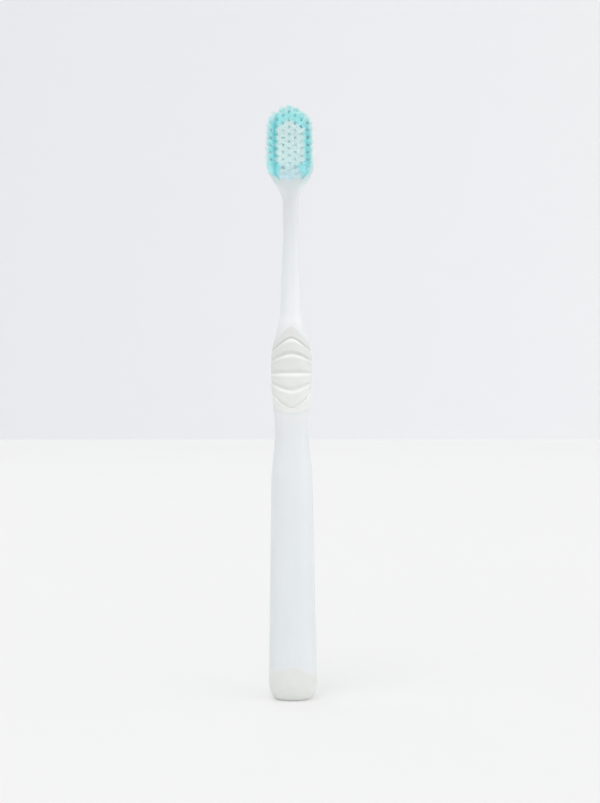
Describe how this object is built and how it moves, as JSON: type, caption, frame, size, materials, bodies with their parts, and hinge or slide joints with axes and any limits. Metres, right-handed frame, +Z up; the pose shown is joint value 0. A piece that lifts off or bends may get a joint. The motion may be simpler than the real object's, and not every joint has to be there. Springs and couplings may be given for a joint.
{
  "type": "manual toothbrush",
  "caption": "Manual toothbrush with a ribbed soft thumb grip, a slim neck and a compact head of aqua and white tufts; it stands upright on its soft foot.",
  "frame": {"origin": "centre of the flat face under the foot, which the brush stands on", "axes": "+Z up along the handle to the head, -Y the way the tufts face, +X to the right as seen from the tufts' side"},
  "size_m": [0.0154, 0.0188, 0.19],
  "materials": {
    "hard_plastic": "smooth, softly glossy injection moulding in a faintly bluish white",
    "soft_plastic": "satin thermoplastic elastomer in a warmer white, moulded onto the hard core",
    "aqua_filament": "fine aqua nylon filament, slightly translucent",
    "white_filament": "fine near-white nylon filament, slightly translucent",
    "anchor_metal": "plain flattened brass wire"
  },
  "bodies": {
    "root": {"handle_core": "hard_plastic", "thumb_grip": "soft_plastic", "end_cap": "soft_plastic", "aqua_tufts_column_1": "aqua_filament", "aqua_tufts_column_2": "aqua_filament", "aqua_tufts_column_3": "aqua_filament", "aqua_tufts_column_4": "aqua_filament", "aqua_tufts_column_5": "aqua_filament", "aqua_tufts_column_6": "aqua_filament", "aqua_tufts_column_7": "aqua_filament", "white_tufts_column_2": "white_filament", "white_tufts_column_3": "white_filament", "white_tufts_column_4": "white_filament", "white_tufts_column_5": "white_filament", "white_tufts_column_6": "white_filament", "anchors_column_1": "anchor_metal", "anchors_column_2": "anchor_metal", "anchors_column_3": "anchor_metal", "anchors_column_4": "anchor_metal", "anchors_column_5": "anchor_metal", "anchors_column_6": "anchor_metal", "anchors_column_7": "anchor_metal"}
  },
  "joints": []
}
